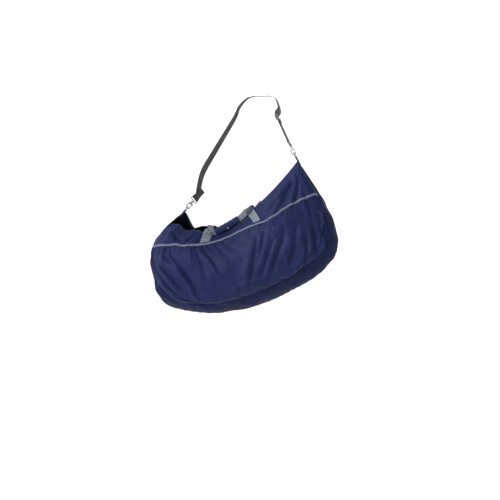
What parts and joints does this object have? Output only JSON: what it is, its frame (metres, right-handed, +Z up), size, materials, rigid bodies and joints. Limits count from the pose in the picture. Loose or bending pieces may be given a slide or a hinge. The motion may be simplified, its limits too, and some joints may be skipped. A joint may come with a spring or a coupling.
{
  "type": "foldable tote bag",
  "caption": "Large light duffel-shaped tote of thin navy fabric, hanging tilted from a shoulder strap, with wrapped carry handles, piping and an open top zip.",
  "frame": {"origin": "underside of the shoulder strap's crown, where it rests on the shoulder", "axes": "+Z up, +X along the bag towards the end that hangs higher, +Y towards the wearer"},
  "size_m": [0.7845, 0.3513, 0.8946],
  "materials": {
    "navy_nylon": "thin coated ripstop nylon with a slight sheen",
    "dark_lining": "dark coated inner face",
    "trim_cord": "corded lavender-grey piping",
    "grey_webbing": "light grey ribbed webbing",
    "charcoal_webbing": "charcoal ribbed webbing",
    "zip_tape": "woven zip tape",
    "zip_metal": "gunmetal",
    "steel": "bright nickel plate",
    "black_plastic": "moulded",
    "coil_plastic": "nylon coil"
  },
  "bodies": {
    "strap": {"shoulder_strap": "charcoal_webbing", "left_swivel_eye": "steel", "right_swivel_eye": "steel"},
    "adjuster": {"strap_adjuster": "black_plastic"},
    "left_hook": {"left_hook": "steel", "left_gate_pin": "steel", "left_gate_spring": "steel"},
    "right_hook": {"right_hook": "steel", "right_gate_pin": "steel", "right_gate_spring": "steel"},
    "left_gate": {"left_gate": "steel"},
    "right_gate": {"right_gate": "steel"},
    "bag": {"front_upper_panel": "navy_nylon", "front_lower_panel": "navy_nylon", "back_upper_panel": "navy_nylon", "back_lower_panel": "navy_nylon", "left_end_gusset": "navy_nylon", "bottom_gusset": "navy_nylon", "right_end_gusset": "navy_nylon", "front_trim": "trim_cord", "back_trim": "trim_cord", "front_zip_tape": "zip_tape", "back_zip_tape": "zip_tape", "zip_coil": "coil_plastic", "zip_end_stop": "steel", "front_handle_left_leg": "grey_webbing", "front_handle_right_leg": "grey_webbing", "back_handle_left_leg": "grey_webbing", "back_handle_right_leg": "grey_webbing", "left_ring_tab": "zip_tape", "right_ring_tab": "zip_tape", "stow_pocket": "dark_lining", "stow_pocket_zip": "zip_tape"},
    "left_ring": {"left_ring": "steel"},
    "right_ring": {"right_ring": "steel"},
    "zip_slider": {"zip_slider": "zip_metal"},
    "zip_pull": {"zip_pull": "zip_metal"},
    "handles": {"front_handle_loop": "grey_webbing", "back_handle_loop": "grey_webbing", "handle_wrap": "navy_nylon", "wrap_snap": "steel"},
    "pocket_slider": {"stow_pocket_slider": "steel"}
  },
  "joints": [
    {"name": "bag_swing", "type": "hinge", "parent": "strap", "child": "bag", "pos_m": [-0.0496, -0.2, -0.35248], "axis": [-0.8963, 0, -0.4435], "range_deg": [-8, 30]},
    {"name": "adjuster_slide", "type": "slide", "parent": "strap", "child": "adjuster", "axis": [-0.439, 0.449, 0.7783], "range_m": [-0.08, 0]},
    {"name": "left_hook_swivel", "type": "hinge", "parent": "strap", "child": "left_hook", "pos_m": [-0.2538, -0.18927, -0.43983], "axis": [-0.584, -0.3482, -0.7333], "range_deg": [-20, 20]},
    {"name": "right_hook_swivel", "type": "hinge", "parent": "strap", "child": "right_hook", "pos_m": [0.15906, -0.18617, -0.21857], "axis": [-0.439, 0.449, 0.7783], "range_deg": [-20, 20]},
    {"name": "left_gate_open", "type": "hinge", "parent": "left_hook", "child": "left_gate", "pos_m": [-0.25549, -0.19345, -0.45287], "axis": [-0.2169, 0.9374, -0.2724], "range_deg": [0, 16], "stiffness_Nm_per_rad": 0.02, "springref_deg": -20.05},
    {"name": "right_gate_open", "type": "hinge", "parent": "right_hook", "child": "right_gate", "pos_m": [0.17025, -0.19156, -0.22456], "axis": [0.2206, 0.8935, -0.3911], "range_deg": [0, 16], "stiffness_Nm_per_rad": 0.02, "springref_deg": -20.05},
    {"name": "left_ring_tilt", "type": "hinge", "parent": "bag", "child": "left_ring", "pos_m": [-0.28301, -0.2, -0.4765], "axis": [0, 1, 0], "range_deg": [-6, 6]},
    {"name": "right_ring_tilt", "type": "hinge", "parent": "bag", "child": "right_ring", "pos_m": [0.18143, -0.2, -0.25821], "axis": [0, 1, 0], "range_deg": [-6, 6]},
    {"name": "zip_travel", "type": "hinge", "parent": "bag", "child": "zip_slider", "pos_m": [-0.8546, -0.2, 0.5231], "axis": [0, -1, 0], "range_deg": [0, 9]},
    {"name": "zip_pull_flip", "type": "hinge", "parent": "zip_slider", "child": "zip_pull", "pos_m": [0.03361, -0.2, -0.43545], "axis": [0, 1, 0], "range_deg": [0, 150]},
    {"name": "handles_lift", "type": "hinge", "parent": "bag", "child": "handles", "pos_m": [-0.0875, -0.168, -0.507], "axis": [-0.9164, 0, -0.4002], "range_deg": [0, 45]},
    {"name": "pocket_zip_travel", "type": "slide", "parent": "bag", "child": "pocket_slider", "axis": [1, 0, 0], "range_m": [0, 0.14]}
  ]
}
